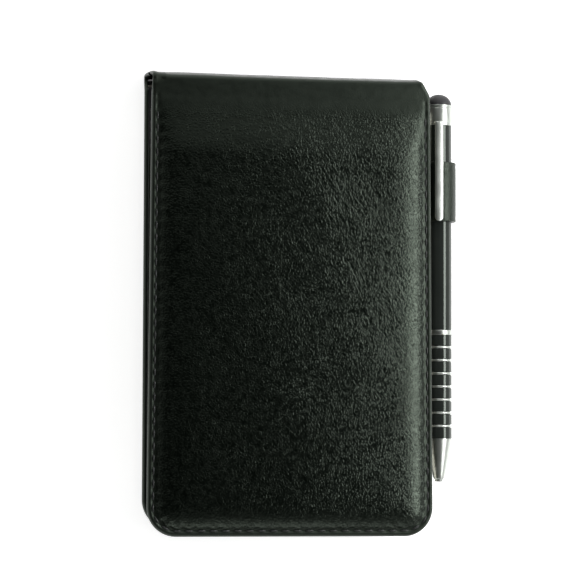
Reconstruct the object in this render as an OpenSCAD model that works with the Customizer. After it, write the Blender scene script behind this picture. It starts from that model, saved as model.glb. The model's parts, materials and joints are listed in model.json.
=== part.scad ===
// Pocket jotter: a padded leather flip cover, a tear-off pad and a stylus pen in a loop.
// Millimetres. +X points to the pen, +Y to the spine, +Z from the back cover to the front cover.
// The origin is the centre of the back cover's outer face.

/* [Cover] */
// Width of the front and back panels
cover_w = 78; // [77:0.5:78.4]
// Length of each panel from its fold line to its free edge
panel_l = 123.4; // [122:0.2:124]
// Radius of the panels' free corners
corner_r = 8; // [6:0.5:10]
// Thickness of the leather
skin_t = 0.8; // [0.7:0.05:0.85]
// Thickness of the lining fabric and of each pocket panel
lining_t = 0.4; // [0.3:0.05:0.4]
// Thickness of the stiffening board in the back cover
back_board_t = 1.4; // [1.3:0.1:1.5]
// Thickness of the stiffening board in the front cover
front_board_t = 1.2; // [1:0.1:1.2]
// Height of the foam crown above the front cover's stitched rim
crown_h = 2.1; // [1.5:0.1:2.1]

/* [Spine] */
// Distance between the two fold lines, straight up from the back cover
spine_h = 12; // [11.9:0.1:12.2]
// How far the spine leans in over the pad
spine_lean = 1.8; // [1.8:0.1:2]
// Radius of the rolled leather along each fold line
bead_r = 1.1; // [1:0.05:1.15]
// How far the middle of the spine bows outwards
spine_bow = 0.5; // [0.3:0.1:0.5]
// How much narrower the spine is on the pen's side
pen_side_trim = 2.6; // [1:0.1:3]
// Length over which the panels narrow to it
trim_run = 4; // [3:0.5:8]

/* [Stitching] */
// Distance from one stitch to the next
stitch_pitch = 3.3; // [3:0.1:4]
// Length of one stitch
stitch_l = 2.4; // [2:0.1:2.6]
// Radius of the thread
thread_r = 0.24; // [0.2:0.01:0.24]
// Distance from a panel's edge to its stitching
stitch_inset = 1.6; // [1.5:0.05:1.7]

/* [Pad] */
// Width of the pad
pad_w = 72; // [70:0.5:72]
// Length of the pad
pad_l = 108; // [105:0.5:108]
// Thickness of the bound block of pages
block_t = 5; // [3:0.5:5]
// Thickness of the pad's backing card
card_t = 0.6; // [0.5:0.05:0.6]
// Thickness of one loose leaf
leaf_t = 0.12; // [0.1:0.01:0.12]
// Width of the binding tape over the head of the pad
tape_l = 7.4; // [6:0.2:8]

/* [Pen] */
// Distance of the pen's axis from the middle of the cover
pen_x = 43.1; // [43.1:0.1:43.4]
// Height of the pen's axis above the back face
pen_z = 5.75; // [5.75:0.05:5.8]
// Radius of the pen at its chrome rings
pen_r = 3.75; // [3.7:0.01:3.76]
// Radius of the black barrel
barrel_r = 3.62; // [3.5:0.01:3.65]
// How far the writing tip comes out
tip_travel = 3.5; // [3:0.1:3.5]
// Width of the pen clip
clip_w = 2.3; // [2:0.1:2.6]
// Number of thin chrome rings on the grip
grip_ring_count = 7; // [5:1:7]

/* [Hidden] */
$fn = 64;

// Clearances: a turning or sliding fit, and pieces that only lie side by side
fit = 0.05;
side_gap = 0.05;
// A cut runs this far past the face that it opens
past = 1;

// Fold lines: the back cover's is low, the front cover's is high and leans in over the pad
fold_y = 61.5;
fold_z = 1.2;
front_fold_y = fold_y - spine_lean;
front_fold_z = fold_z + spine_h;
spine_angle = atan2(spine_lean, spine_h);
spine_chord = sqrt(pow(spine_lean, 2) + pow(spine_h, 2));
spine_x0 = -cover_w / 2;
spine_w = cover_w - pen_side_trim;
// The panels stop this far short of their fold line, and their boards a little further
panel_end_gap = 0.9;
board_end_gap = 2.2;

// Back cover, from its outer face up
edge_wall = 0.9;
back_y0 = fold_y - panel_l;
back_y1 = fold_y - panel_end_gap;
back_board_z = skin_t;
back_lining_z = back_board_z + back_board_t;
back_top_z = back_lining_z + lining_t;

// Pad, on the back cover
card_z = back_top_z;
pocket_panel_z = card_z + card_t;
block_z = pocket_panel_z + lining_t;
block_top_z = block_z + block_t;
pad_y0 = -pad_l / 2;
pad_y1 = pad_l / 2;
pocket_gap = 0.3;
pocket_mouth_y = 42;
tape_t = 0.2;
tape_y = pad_y1 - tape_l;
leaf_step = leaf_t + side_gap;
leaf_z = block_top_z + side_gap;
leaf_gap = 0.3;
leaf_top_y = tape_y - leaf_gap;

// Front cover, from its inner face up
front_y0 = front_fold_y - panel_l;
front_y1 = front_fold_y - panel_end_gap;
rim_rise = 0.7;
board_gap = 0.1;
front_rim_z = front_fold_z + rim_rise;
front_board_z = front_rim_z - skin_t - board_gap - front_board_t;
front_lining_z = front_board_z - lining_t;
large_pocket_z = front_lining_z - lining_t;
small_pocket_z = large_pocket_z - lining_t;
// The crown's profile: insets from the panel's edge, and heights above the rim
crown_foot = 2.3;
crown_shoulder = 4;
crown_top = 9;
crown_shoulder_share = 0.55;
crown_shoulder_h = crown_h * crown_shoulder_share;
slice_t = 0.05;
padding_z = front_rim_z - skin_t - slice_t;
// Card pockets on the front cover's inner face
pocket_inset = 1;
large_pocket_y1 = 22;
small_pocket_y1 = -6;
thumb_r = 11;
thumb_rise = 6;

// Stitch channel, and the U-shaped line that the stitches follow
channel_w = 0.8;
channel_d = 0.55;
stitch_end_gap = 5;

// Pen loop: a leather strip round the pen, with its tail sewn into the back cover
loop_y0 = 22.9;
loop_y1 = 39.5;
loop_clearance = 0.1;
loop_in_r = pen_r + loop_clearance;
loop_t = 1;
loop_out_r = loop_in_r + loop_t;
loop_tail_x = 29;
loop_tail_z = pen_z - loop_out_r;

// Pen stations along Y, from the head to the tip
dome_top_y = 58.7;
dome_base_y = 55.5;
dome_r = 3.63;
dome_plug_r = 2.4;
dome_plug_l = 3;
top_ring_y = 50.6;
neck_y1 = 52.2;
collar_y = 49.8;
collar_lug_z = 9;
centre_ring_y0 = -8.4;
centre_ring_y1 = -7.1;
grip_end_y = -37;
nose_end_y = -48.9;
nose_end_r = 1.17;
barrel_plug_l = 3.5;
grip_ring_w = 0.8;
grip_ring_depth = 0.5;
// Plain stretch at each end of the grip, in ring pitches
grip_end_share = 0.95;
grip_pitch = (centre_ring_y0 - grip_end_y) / (grip_ring_count - 1 + 2 * grip_end_share);

// Clip: a sprung strap, hinged where it leaves the collar
clip_offset = -1.25;
clip_t = 0.65;
clip_clearance = 0.15;
clip_z = pen_z + loop_out_r + clip_clearance;
clip_root_y = 49.3;
clip_tip_y = loop_y0 + clip_w / 2;

// Twist mechanism and refill
barrel_bore_r = 2.9;
guide_r = 2.85;
guide_bore_r = 2.3;
guide_y0 = -6.9;
guide_y1 = 30;
helix_r = 2.25;
helix_bore_r = 1.7;
helix_y0 = -14;
helix_y1 = 27;
carrier_r = 1.6;
carrier_y0 = 11;
carrier_y1 = 23;
pin_r = 0.4;
pin_y = 21.5;
pin_reach = 2.75;
slot_r = 0.55;
helix_turn = 180;
helix_cuts = 20;
refill_r = 1.175;
refill_tail_y = 19.8;
refill_shoulder_y = -41;
neck_y = -42.6;
neck_r = 0.6;
tip_cone_y = -46.3;
ball_y = -46.95;
ball_r = 0.35;
ball_socket_y = -46.9;
ball_socket_r = 0.34;
lower_bore_r = 1.75;
nose_spigot_r = 2.65;
nose_spigot_l = 5;
nose_bore_r = 1.3;
mouth_r = 0.75;
mouth_l = 2.3;

// Facets of the crown's corners, of the bowed spine and of a stitch
crown_fn = 32;
bow_fn = 256;
thread_fn = 16;

// Colours
leather = [0.045, 0.05, 0.048];
lining_grey = [0.09, 0.09, 0.1];
board_grey = [0.55, 0.52, 0.47];
thread = [0.03, 0.03, 0.03];
paper = [0.95, 0.93, 0.87];
chrome = [0.8, 0.8, 0.82];
lacquer = [0.02, 0.02, 0.025];
brass = [0.78, 0.62, 0.32];
rubber = [0.06, 0.06, 0.06];
plastic = [0.85, 0.85, 0.85];
ball_steel = [0.3, 0.3, 0.32];

// ---------- shared shapes ----------

// Panel outline: square at the spine end, round at the two free corners
module panel_outline(w, y0, y1, r) {
    translate([-w / 2, y0 + r]) square([w, y1 - y0 - r]);
    translate([-w / 2 + r, y0]) square([w - 2 * r, 2 * r]);
    for (side = [-1, 1]) translate([side * (w / 2 - r), y0 + r]) circle(r);
}

// Flat panel, drawn in from the cover's edge by inset on its three free sides
module panel(inset, y0, y1, z, t) {
    translate([0, 0, z])
        linear_extrude(t)
            panel_outline(cover_w - 2 * inset, y0 + inset, y1, corner_r - inset);
}

// Plain block between two corners
module block(low, high) {
    translate(low) cube(high - low);
}

// What a panel loses at the corner where it narrows to the spine, drawn in by inset
module pen_side_cut(inset, y1) {
    translate([0, 0, -past])
        linear_extrude(front_rim_z + crown_h + 2 * past)
            polygon([[cover_w / 2 - inset, y1 - trim_run], [cover_w, y1 - trim_run],
                [cover_w, y1 + past], [spine_x0 + spine_w - inset, y1 + past],
                [spine_x0 + spine_w - inset, y1]]);
}

// Round bar along a fold line
module fold_bar(y, z, r) {
    translate([spine_x0, y, z]) rotate([0, 90, 0]) cylinder(r = r, h = spine_w);
}

// Groove that a fold's round bead turns in
module fold_groove(y, z) {
    translate([-cover_w / 2 - past, y, z])
        rotate([0, 90, 0])
            cylinder(r = bead_r + fit, h = cover_w + 2 * past);
}

// U-shaped channel for the stitching, round the three free sides
module stitch_channel(y0, y1, z, t) {
    difference() {
        panel(stitch_inset - channel_w / 2, y0, y1 - stitch_end_gap, z, t);
        translate([0, 0, -past])
            panel(stitch_inset + channel_w / 2, y0, y1, z, t + 2 * past);
    }
}

// Place and heading at distance s along the stitching line: down, across and up again
function stitch_place(s, half_w, y0, y1, r) =
    let (side = y1 - y0 - r, bend = PI * r / 2, foot = 2 * (half_w - r))
    s < side ? [-half_w, y1 - s, 90]
    : s < side + bend ?
        let (a = 180 + (s - side) / r * 180 / PI)
        [-half_w + r + r * cos(a), y0 + r + r * sin(a), a + 90]
    : s < side + bend + foot ? [-half_w + r + s - side - bend, y0, 0]
    : s < side + 2 * bend + foot ?
        let (a = 270 + (s - side - bend - foot) / r * 180 / PI)
        [half_w - r + r * cos(a), y0 + r + r * sin(a), a + 90]
    : [half_w, y0 + r + s - side - 2 * bend - foot, 90];

// A row of stitches, all one thread
module stitch_row(y0, y1, z) {
    half_w = cover_w / 2 - stitch_inset;
    foot_y = y0 + stitch_inset;
    head_y = y1 - stitch_end_gap - stitch_pitch / 2;
    r = corner_r - stitch_inset;
    run = 2 * (head_y - foot_y - r) + PI * r + 2 * (half_w - r);
    count = floor(run / stitch_pitch);
    start = (run - (count - 1) * stitch_pitch) / 2;
    for (i = [0:count - 1]) {
        place = stitch_place(start + i * stitch_pitch, half_w, foot_y, head_y, r);
        translate([place[0], place[1], z])
            rotate([0, 0, place[2]])
                rotate([0, 90, 0])
                    cylinder(r = thread_r, h = stitch_l, center = true, $fn = thread_fn);
    }
}

// Solid and hollow rounds on the pen's axis, between two stations along Y
module on_pen(y) {
    translate([pen_x, y, pen_z]) rotate([-90, 0, 0]) children();
}

module pen_rod(r, y0, y1) {
    on_pen(y0) cylinder(r = r, h = y1 - y0);
}

module pen_tube(r, bore, y0, y1) {
    difference() {
        pen_rod(r, y0, y1);
        pen_rod(bore, y0 - past, y1 + past);
    }
}

module pen_cone(r0, r1, y0, y1) {
    on_pen(y0) cylinder(r1 = r0, r2 = r1, h = y1 - y0);
}

// Radial peg on the pen's axis, turned by an angle about it
module pen_peg(r, y, reach, turn) {
    translate([pen_x, y, pen_z]) rotate([0, turn, 0]) rotate([0, 90, 0]) cylinder(r = r, h = reach);
}

// ---------- back cover ----------

module loop_tail_slot() {
    block([loop_tail_x - side_gap, loop_y0 - side_gap, loop_tail_z - side_gap],
        [cover_w / 2 + past, loop_y1 + side_gap, loop_tail_z + loop_t + side_gap]);
}

module back_skin() {
    color(leather)
        difference() {
            panel(0, back_y0, back_y1, 0, back_top_z);
            difference() {
                panel(edge_wall, back_y0, fold_y - board_end_gap, skin_t, back_top_z);
                pen_side_cut(edge_wall, back_y1);
            }
            stitch_channel(back_y0, back_y1, -past, past + channel_d);
            fold_groove(fold_y, fold_z);
            loop_tail_slot();
            pen_side_cut(0, back_y1);
        }
}

module back_board() {
    color(board_grey)
        difference() {
            panel(edge_wall + side_gap, back_y0, fold_y - board_end_gap - side_gap,
                back_board_z, back_board_t);
            loop_tail_slot();
            pen_side_cut(edge_wall + side_gap, back_y1);
        }
}

module back_lining() {
    color(lining_grey)
        difference() {
            panel(edge_wall + side_gap, back_y0, fold_y - board_end_gap - side_gap,
                back_lining_z, lining_t);
            pen_side_cut(edge_wall + side_gap, back_y1);
        }
}

// Slot pocket: a panel over the card, closed on three sides by the turned hem
module pad_pocket() {
    color(leather)
        difference() {
            panel(edge_wall + side_gap, back_y0, pocket_mouth_y, card_z, card_t + lining_t);
            block([-pad_w / 2 - pocket_gap, pad_y0 - pocket_gap, card_z - past],
                [pad_w / 2 + pocket_gap, pocket_mouth_y + past, pocket_panel_z]);
        }
}

module back_stitching() {
    color(thread) stitch_row(back_y0, back_y1, thread_r + side_gap);
}

module pen_loop() {
    color(leather)
        difference() {
            union() {
                pen_rod(loop_out_r, loop_y0, loop_y1);
                block([loop_tail_x, loop_y0, loop_tail_z], [pen_x, loop_y1, loop_tail_z + loop_t]);
            }
            pen_rod(loop_in_r, loop_y0 - past, loop_y1 + past);
        }
}

// ---------- pad ----------

module pad_backing_card() {
    color(board_grey) block([-pad_w / 2, pad_y0, card_z], [pad_w / 2, pad_y1, pocket_panel_z]);
}

// Pages glued at the head, cut back there by the tape's thickness
module page_block() {
    color(paper)
        difference() {
            block([-pad_w / 2, pad_y0, block_z], [pad_w / 2, pad_y1, block_top_z]);
            block([-pad_w, tape_y, block_top_z - tape_t], [pad_w, pad_y1 + past, block_top_z + past]);
            block([-pad_w, pad_y1 - tape_t, card_z], [pad_w, pad_y1 + past, block_top_z + past]);
        }
}

// Tape folded over the head of the pages and down onto the card
module pad_binding_tape() {
    color(leather) {
        block([-pad_w / 2, tape_y, block_top_z - tape_t], [pad_w / 2, pad_y1, block_top_z]);
        block([-pad_w / 2, pad_y1 - tape_t, block_z], [pad_w / 2, pad_y1, block_top_z]);
        block([-pad_w / 2, tape_y, pocket_panel_z], [pad_w / 2, pad_y1, block_z]);
    }
}

// One loose leaf, free to turn over the head of the pad
module leaf(level) {
    z = leaf_z + level * leaf_step;
    color(paper) block([-pad_w / 2, pad_y0, z], [pad_w / 2, leaf_top_y, z + leaf_t]);
}

module leaf_1() { leaf(0); }
module leaf_2() { leaf(1); }
module leaf_3() { leaf(2); }

// ---------- spine ----------

// Band of the bowed spine between two depths below its outer face, as seen from its end
module spine_band(depth0, depth1, trim) {
    bow_r = pow(spine_chord, 2) / (8 * spine_bow) + spine_bow / 2;
    translate([fold_y, fold_z])
        rotate(spine_angle)
            intersection() {
                translate([bead_r + spine_bow - bow_r, spine_chord / 2])
                    difference() {
                        circle(bow_r - depth0, $fn = bow_fn);
                        circle(bow_r - depth1, $fn = bow_fn);
                    }
                translate([-2 * bead_r, trim]) square([4 * bead_r, spine_chord - 2 * trim]);
            }
}

module across_cover() {
    translate([spine_x0, 0, 0]) rotate([90, 0, 90]) linear_extrude(spine_w) children();
}

module spine_skin() {
    color(leather) {
        across_cover() spine_band(0, skin_t, 0);
        fold_bar(fold_y, fold_z, bead_r);
        fold_bar(front_fold_y, front_fold_z, bead_r);
    }
}

module spine_lining() {
    color(lining_grey) across_cover() spine_band(skin_t, skin_t + lining_t, bead_r + side_gap);
}

// ---------- front cover ----------

// The padded crown, drawn in and down by depth
module crown(depth) {
    hull() {
        panel(crown_foot + depth, front_y0, front_y1 - crown_foot - depth,
            front_rim_z - depth - slice_t, slice_t, $fn = crown_fn);
        panel(crown_shoulder + depth, front_y0, front_y1 - crown_shoulder - depth,
            front_rim_z + crown_shoulder_h - depth, slice_t, $fn = crown_fn);
        panel(crown_top + depth, front_y0, front_y1 - crown_top - depth,
            front_rim_z + crown_h - depth - slice_t, slice_t, $fn = crown_fn);
    }
}

module front_skin() {
    color(leather)
        difference() {
            union() {
                panel(0, front_y0, front_y1, front_lining_z, front_rim_z - front_lining_z);
                crown(0);
            }
            difference() {
                panel(edge_wall, front_y0, front_fold_y - board_end_gap, front_lining_z - past,
                    past + padding_z - front_lining_z);
                pen_side_cut(edge_wall, front_y1);
            }
            crown(skin_t);
            stitch_channel(front_y0, front_y1, front_rim_z - channel_d, channel_d + past);
            fold_groove(front_fold_y, front_fold_z);
            pen_side_cut(0, front_y1);
        }
}

module front_padding() {
    color(lining_grey)
        intersection() {
            crown(skin_t + side_gap);
            block([-cover_w, front_y0, padding_z], [cover_w, front_y1, front_rim_z + crown_h]);
        }
}

module front_board() {
    color(board_grey)
        difference() {
            panel(edge_wall + side_gap, front_y0, front_fold_y - board_end_gap - side_gap,
                front_board_z, front_board_t);
            pen_side_cut(edge_wall + side_gap, front_y1);
        }
}

module front_lining() {
    color(lining_grey)
        difference() {
            panel(edge_wall + side_gap, front_y0, front_fold_y - board_end_gap - side_gap,
                front_lining_z, lining_t);
            pen_side_cut(edge_wall + side_gap, front_y1);
        }
}

// Card pocket panel with a round thumb notch in its mouth
module card_pocket(z, mouth_y) {
    color(leather)
        difference() {
            panel(pocket_inset, front_y0, mouth_y, z, lining_t);
            translate([0, mouth_y + thumb_rise, z - past]) cylinder(r = thumb_r, h = lining_t + 2 * past);
        }
}

module card_pocket_large() { card_pocket(large_pocket_z, large_pocket_y1); }
module card_pocket_small() { card_pocket(small_pocket_z, small_pocket_y1); }

module front_stitching() {
    color(thread) stitch_row(front_y0, front_y1, front_rim_z - thread_r + side_gap);
}

// ---------- pen: upper half ----------

module stylus_dome() {
    color(rubber) {
        intersection() {
            on_pen(dome_top_y - dome_r) sphere(dome_r);
            pen_rod(pen_r, dome_base_y, dome_top_y + past);
        }
        pen_rod(dome_plug_r, dome_base_y - dome_plug_l, dome_base_y);
    }
}

module pen_top_ring() {
    color(chrome)
        difference() {
            pen_rod(pen_r, top_ring_y, dome_base_y);
            pen_rod(dome_plug_r + side_gap, dome_base_y - dome_plug_l - side_gap, dome_base_y + past);
            pen_rod(barrel_bore_r, top_ring_y - past, neck_y1 + side_gap);
        }
}

// Flat collar trapped below the top ring, with the lug that carries the clip
module pen_clip_collar() {
    color(chrome)
        difference() {
            union() {
                pen_rod(pen_r, collar_y, top_ring_y);
                block([pen_x + clip_offset - clip_w / 2, collar_y, collar_lug_z],
                    [pen_x + clip_offset + clip_w / 2, top_ring_y, clip_z + clip_t]);
            }
            pen_rod(barrel_bore_r, collar_y - past, top_ring_y + past);
        }
}

module upper_barrel() {
    color(lacquer)
        difference() {
            union() {
                pen_rod(barrel_r, centre_ring_y1, collar_y);
                pen_rod(barrel_bore_r - side_gap, collar_y, neck_y1);
            }
            pen_rod(barrel_bore_r, centre_ring_y1 - past, guide_y1 + fit);
            pen_rod(guide_bore_r, guide_y1, top_ring_y - barrel_plug_l);
        }
}

// Fixed tube whose straight slot keeps the refill's pin from turning
module twist_guide_tube() {
    color(brass)
        difference() {
            pen_tube(guide_r, guide_bore_r, guide_y0, guide_y1);
            block([pen_x, pin_y - tip_travel, pen_z - slot_r], [pen_x + pen_r, pin_y, pen_z + slot_r]);
            pen_peg(slot_r, pin_y, pen_r, 0);
            pen_peg(slot_r, pin_y - tip_travel, pen_r, 0);
        }
}

module centre_ring() {
    color(chrome) pen_tube(pen_r, barrel_bore_r, centre_ring_y0, centre_ring_y1);
}

module pen_clip() {
    color(chrome)
        translate([pen_x + clip_offset, 0, clip_z]) {
            block([-clip_w / 2, clip_tip_y, 0], [clip_w / 2, clip_root_y, clip_t]);
            translate([0, clip_tip_y, 0]) cylinder(d = clip_w, h = clip_t);
            translate([-clip_w / 2, clip_root_y, clip_t / 2])
                rotate([0, 90, 0])
                    cylinder(d = clip_t, h = clip_w);
        }
}

// ---------- pen: lower half ----------

function grip_ring_y(i) = centre_ring_y0 - grip_pitch * (i + grip_end_share);

module lower_barrel() {
    color(lacquer)
        difference() {
            pen_rod(barrel_r, grip_end_y, centre_ring_y0 - fit);
            pen_rod(lower_bore_r, grip_end_y - past, centre_ring_y0 + past);
            pen_rod(helix_r + side_gap, helix_y0 - side_gap, centre_ring_y0 + past);
            pen_rod(nose_spigot_r + side_gap, grip_end_y - past, grip_end_y + nose_spigot_l + side_gap);
            for (i = [0:grip_ring_count - 1])
                pen_tube(pen_r + past, barrel_r - grip_ring_depth,
                    grip_ring_y(i) - grip_ring_w / 2, grip_ring_y(i) + grip_ring_w / 2);
        }
}

// All the thin chrome rings of the grip
module grip_rings() {
    color(chrome)
        for (i = [0:grip_ring_count - 1])
            pen_tube(pen_r, barrel_r - grip_ring_depth,
                grip_ring_y(i) - grip_ring_w / 2, grip_ring_y(i) + grip_ring_w / 2);
}

module nose_cone() {
    color(chrome)
        difference() {
            union() {
                pen_cone(nose_end_r, barrel_r, nose_end_y, grip_end_y);
                pen_rod(nose_spigot_r, grip_end_y, grip_end_y + nose_spigot_l);
            }
            pen_rod(nose_bore_r, nose_end_y + mouth_l, grip_end_y + nose_spigot_l + past);
            pen_rod(mouth_r, nose_end_y - past, nose_end_y + mouth_l + past);
        }
}

// Sleeve that turns with the grip: its helical slot drives the refill's pin along
module twist_helix_sleeve() {
    color(brass)
        difference() {
            pen_tube(helix_r, helix_bore_r, helix_y0, helix_y1);
            for (i = [0:helix_cuts])
                pen_peg(slot_r, pin_y - tip_travel * i / helix_cuts, pen_r,
                    helix_turn * i / helix_cuts);
        }
}

// ---------- refill ----------

module refill_carrier() {
    color(plastic)
        difference() {
            union() {
                pen_rod(carrier_r, carrier_y0, carrier_y1);
                pen_peg(pin_r, pin_y, pin_reach, 0);
            }
            pen_rod(refill_r + side_gap / 2, carrier_y0 - past, refill_tail_y);
        }
}

module refill_tube() {
    color(chrome) pen_rod(refill_r, refill_shoulder_y, refill_tail_y);
}

module refill_tip() {
    color(brass)
        difference() {
            union() {
                pen_cone(neck_r, refill_r, neck_y, refill_shoulder_y);
                pen_rod(neck_r, tip_cone_y, neck_y);
                pen_cone(ball_socket_r, neck_r, ball_socket_y, tip_cone_y);
            }
            on_pen(ball_y) sphere(ball_r);
        }
}

module writing_ball() {
    color(ball_steel) on_pen(ball_y) sphere(ball_r);
}

back_skin();
back_board();
back_lining();
pad_pocket();
back_stitching();
pen_loop();
pad_backing_card();
page_block();
pad_binding_tape();
spine_skin();
spine_lining();
front_skin();
front_padding();
front_board();
front_lining();
card_pocket_large();
card_pocket_small();
front_stitching();
leaf_1();
leaf_2();
leaf_3();
stylus_dome();
pen_top_ring();
pen_clip_collar();
upper_barrel();
twist_guide_tube();
centre_ring();
pen_clip();
lower_barrel();
grip_rings();
nose_cone();
twist_helix_sleeve();
refill_carrier();
refill_tube();
refill_tip();
writing_ball();
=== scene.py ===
import json
import math
import random

import bmesh
import bpy
import numpy as np
from mathutils import Matrix, Vector, noise


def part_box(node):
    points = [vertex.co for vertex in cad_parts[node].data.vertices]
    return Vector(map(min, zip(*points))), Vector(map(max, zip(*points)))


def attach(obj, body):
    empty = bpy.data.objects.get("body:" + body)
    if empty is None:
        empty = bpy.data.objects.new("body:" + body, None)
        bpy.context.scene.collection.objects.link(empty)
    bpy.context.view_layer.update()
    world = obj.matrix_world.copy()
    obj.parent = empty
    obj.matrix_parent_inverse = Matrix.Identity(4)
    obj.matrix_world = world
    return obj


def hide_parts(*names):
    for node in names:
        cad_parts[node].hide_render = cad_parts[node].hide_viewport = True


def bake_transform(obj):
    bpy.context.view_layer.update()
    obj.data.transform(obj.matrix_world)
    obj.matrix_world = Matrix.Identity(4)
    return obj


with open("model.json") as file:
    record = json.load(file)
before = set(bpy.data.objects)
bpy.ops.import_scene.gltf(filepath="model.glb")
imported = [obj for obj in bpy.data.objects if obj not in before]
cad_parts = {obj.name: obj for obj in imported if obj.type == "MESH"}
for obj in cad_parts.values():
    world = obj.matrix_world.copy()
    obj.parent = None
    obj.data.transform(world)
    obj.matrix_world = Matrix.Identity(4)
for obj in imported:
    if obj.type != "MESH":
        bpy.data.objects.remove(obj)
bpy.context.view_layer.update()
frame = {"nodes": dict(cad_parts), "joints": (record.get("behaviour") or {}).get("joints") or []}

# Sizes below are in millimetres in the part's own frame; meshes are made in metres.
MM = 0.001
JOINTS = {joint["name"]: joint for joint in frame["joints"]}


def box_mm(node):
    low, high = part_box(node)
    return low / MM, high / MM


def pivot_mm(joint):
    return Vector(JOINTS[joint]["pos_m"]) / MM


# ---------- places taken from the frame ----------

BACK_AXIS = pivot_mm("spine_fold")
FRONT_AXIS = pivot_mm("cover_fold")
LEAF_AXIS = pivot_mm("leaf_1_turn")
BACK_LO, BACK_HI = box_mm("back_skin")
FRONT_LO, FRONT_HI = box_mm("front_skin")
SPINE_HI = box_mm("spine_skin")[1]
LOOP_LO, LOOP_HI = box_mm("pen_loop")
PAGES_LO, PAGES_HI = box_mm("page_block")
TAPE_LO, TAPE_HI = box_mm("pad_binding_tape")
CLIP_LO, CLIP_HI = box_mm("pen_clip")
BARREL_LO, BARREL_HI = box_mm("upper_barrel")
HALF_W = FRONT_HI.x
PEN_X = (BARREL_LO.x + BARREL_HI.x) / 2
PEN_Z = (BARREL_LO.z + BARREL_HI.z) / 2

# ---------- driving sizes of the soft parts ----------

CORNER_R = 8
LEATHER_T = 0.5
STITCH_PITCH = 3.3
STITCH_L = 2.4
STITCH_INSET = 1.6
THREAD_R = 0.24
FOLD_R = 0.7  # the leather's radius round a fold axis
PANEL_L = FRONT_AXIS.y - FRONT_LO.y
RIM_Z = FRONT_AXIS.z + FOLD_R
CROWN_H = FRONT_HI.z - RIM_Z
DOME_H = 0.50  # the part of the crown that bows over the whole cover
FLANK_H = CROWN_H - DOME_H + 0.20  # the part that climbs from the stitch line
FLANK_START = 2.45
FLANK_RUN = 2.5
SPINE_TRIM = HALF_W - SPINE_HI.x  # how far the spine is cut back on the pen's side


# ---------- small maths ----------

def ease(low, high, value):
    """0 below low, 1 above high, and smooth between them."""
    t = np.clip((np.asarray(value, float) - low) / (high - low), 0, 1)
    return t * t * (3 - 2 * t)


def spread(start, end, step):
    """Numbers from start to end, about a step apart."""
    return np.linspace(start, end, max(2, int(math.ceil(abs(end - start) / step)) + 1))


def join_runs(*runs):
    """One increasing row of numbers from runs that share their end points."""
    return np.unique(np.round(np.concatenate(runs), 6))


def rounded(points, cut, steps, closed=True):
    """The same outline with each corner cut back by cut and rounded."""
    count = len(points)
    cuts = cut if hasattr(cut, "__len__") else [cut] * count
    points = [Vector(p) for p in points]
    out = []
    for i, p in enumerate(points):
        if not closed and i in (0, count - 1):
            out.append(p)
            continue
        before, after = points[i - 1] - p, points[(i + 1) % count] - p
        back = min(cuts[i], 0.48 * before.length, 0.48 * after.length)
        if back < 1e-6:
            out.append(p)
            continue
        a, c = p + before.normalized() * back, p + after.normalized() * back
        for k in range(steps + 1):
            t = k / steps
            out.append(a * (1 - t) ** 2 + p * (2 * t * (1 - t)) + c * t * t)
    return out


def arc(centre, radius, start, end, steps):
    """Points of an arc in a plane, by angles in degrees."""
    angles = np.radians(np.linspace(start, end, steps + 1))
    return [(centre[0] + radius * math.cos(a), centre[1] + radius * math.sin(a)) for a in angles]


class Path:
    """A line in the Y-Z plane, read by distance along it, with its normal on one side."""

    def __init__(self, points, side):
        self.at_points = np.array([tuple(p) for p in points], float)
        steps = np.diff(self.at_points, axis=0)
        lengths = np.linalg.norm(steps, axis=1)
        self.s = np.concatenate([[0], np.cumsum(lengths)])
        unit = steps / lengths[:, None]
        middle = unit[:-1] + unit[1:]
        self.tangents = np.vstack([unit[:1], middle, unit[-1:]])
        self.tangents /= np.linalg.norm(self.tangents, axis=1)[:, None]
        self.side = side
        self.length = self.s[-1]

    def place(self, s):
        """Place and normal at s. Past either end the line goes straight on."""
        y, z = (np.interp(s, self.s, self.at_points[:, k]) for k in (0, 1))
        ty, tz = (np.interp(s, self.s, self.tangents[:, k]) for k in (0, 1))
        size = np.hypot(ty, tz)
        ty, tz = ty / size, tz / size
        beyond = s - np.clip(s, 0, self.length)
        return y + ty * beyond, z + tz * beyond, -tz * self.side, ty * self.side


# ---------- meshes ----------

def add_piece(name, points, faces, material, rest=None, sharp=40, **point_values):
    """An object from points in millimetres. Its rest attribute carries the texture's place."""
    points = np.asarray(points, float)
    mesh = bpy.data.meshes.new(name)
    mesh.from_pydata([tuple(p) for p in points * MM], [], [tuple(int(i) for i in f) for f in faces])
    places = mesh.attributes.new("rest", "FLOAT_VECTOR", "POINT")
    places.data.foreach_set("vector", np.asarray(points if rest is None else rest, np.float32).ravel())
    for key, values in point_values.items():
        attribute = mesh.attributes.new(key, "FLOAT", "POINT")
        attribute.data.foreach_set("value", np.asarray(values, np.float32))
    mesh.materials.append(material)
    piece = bpy.data.objects.new(name, mesh)
    bpy.context.scene.collection.objects.link(piece)
    finish_mesh(piece, sharp)
    return piece


def finish_mesh(piece, sharp):
    """Merges doubles, turns the faces outwards and shades them smooth up to the sharp angle."""
    shape = bmesh.new()
    shape.from_mesh(piece.data)
    bmesh.ops.remove_doubles(shape, verts=shape.verts, dist=1e-7)
    if all(edge.is_manifold for edge in shape.edges):
        bmesh.ops.recalc_face_normals(shape, faces=shape.faces)
    shape.to_mesh(piece.data)
    shape.free()
    piece.data.shade_smooth()
    piece.data.set_sharp_from_angle(angle=math.radians(sharp))


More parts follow.
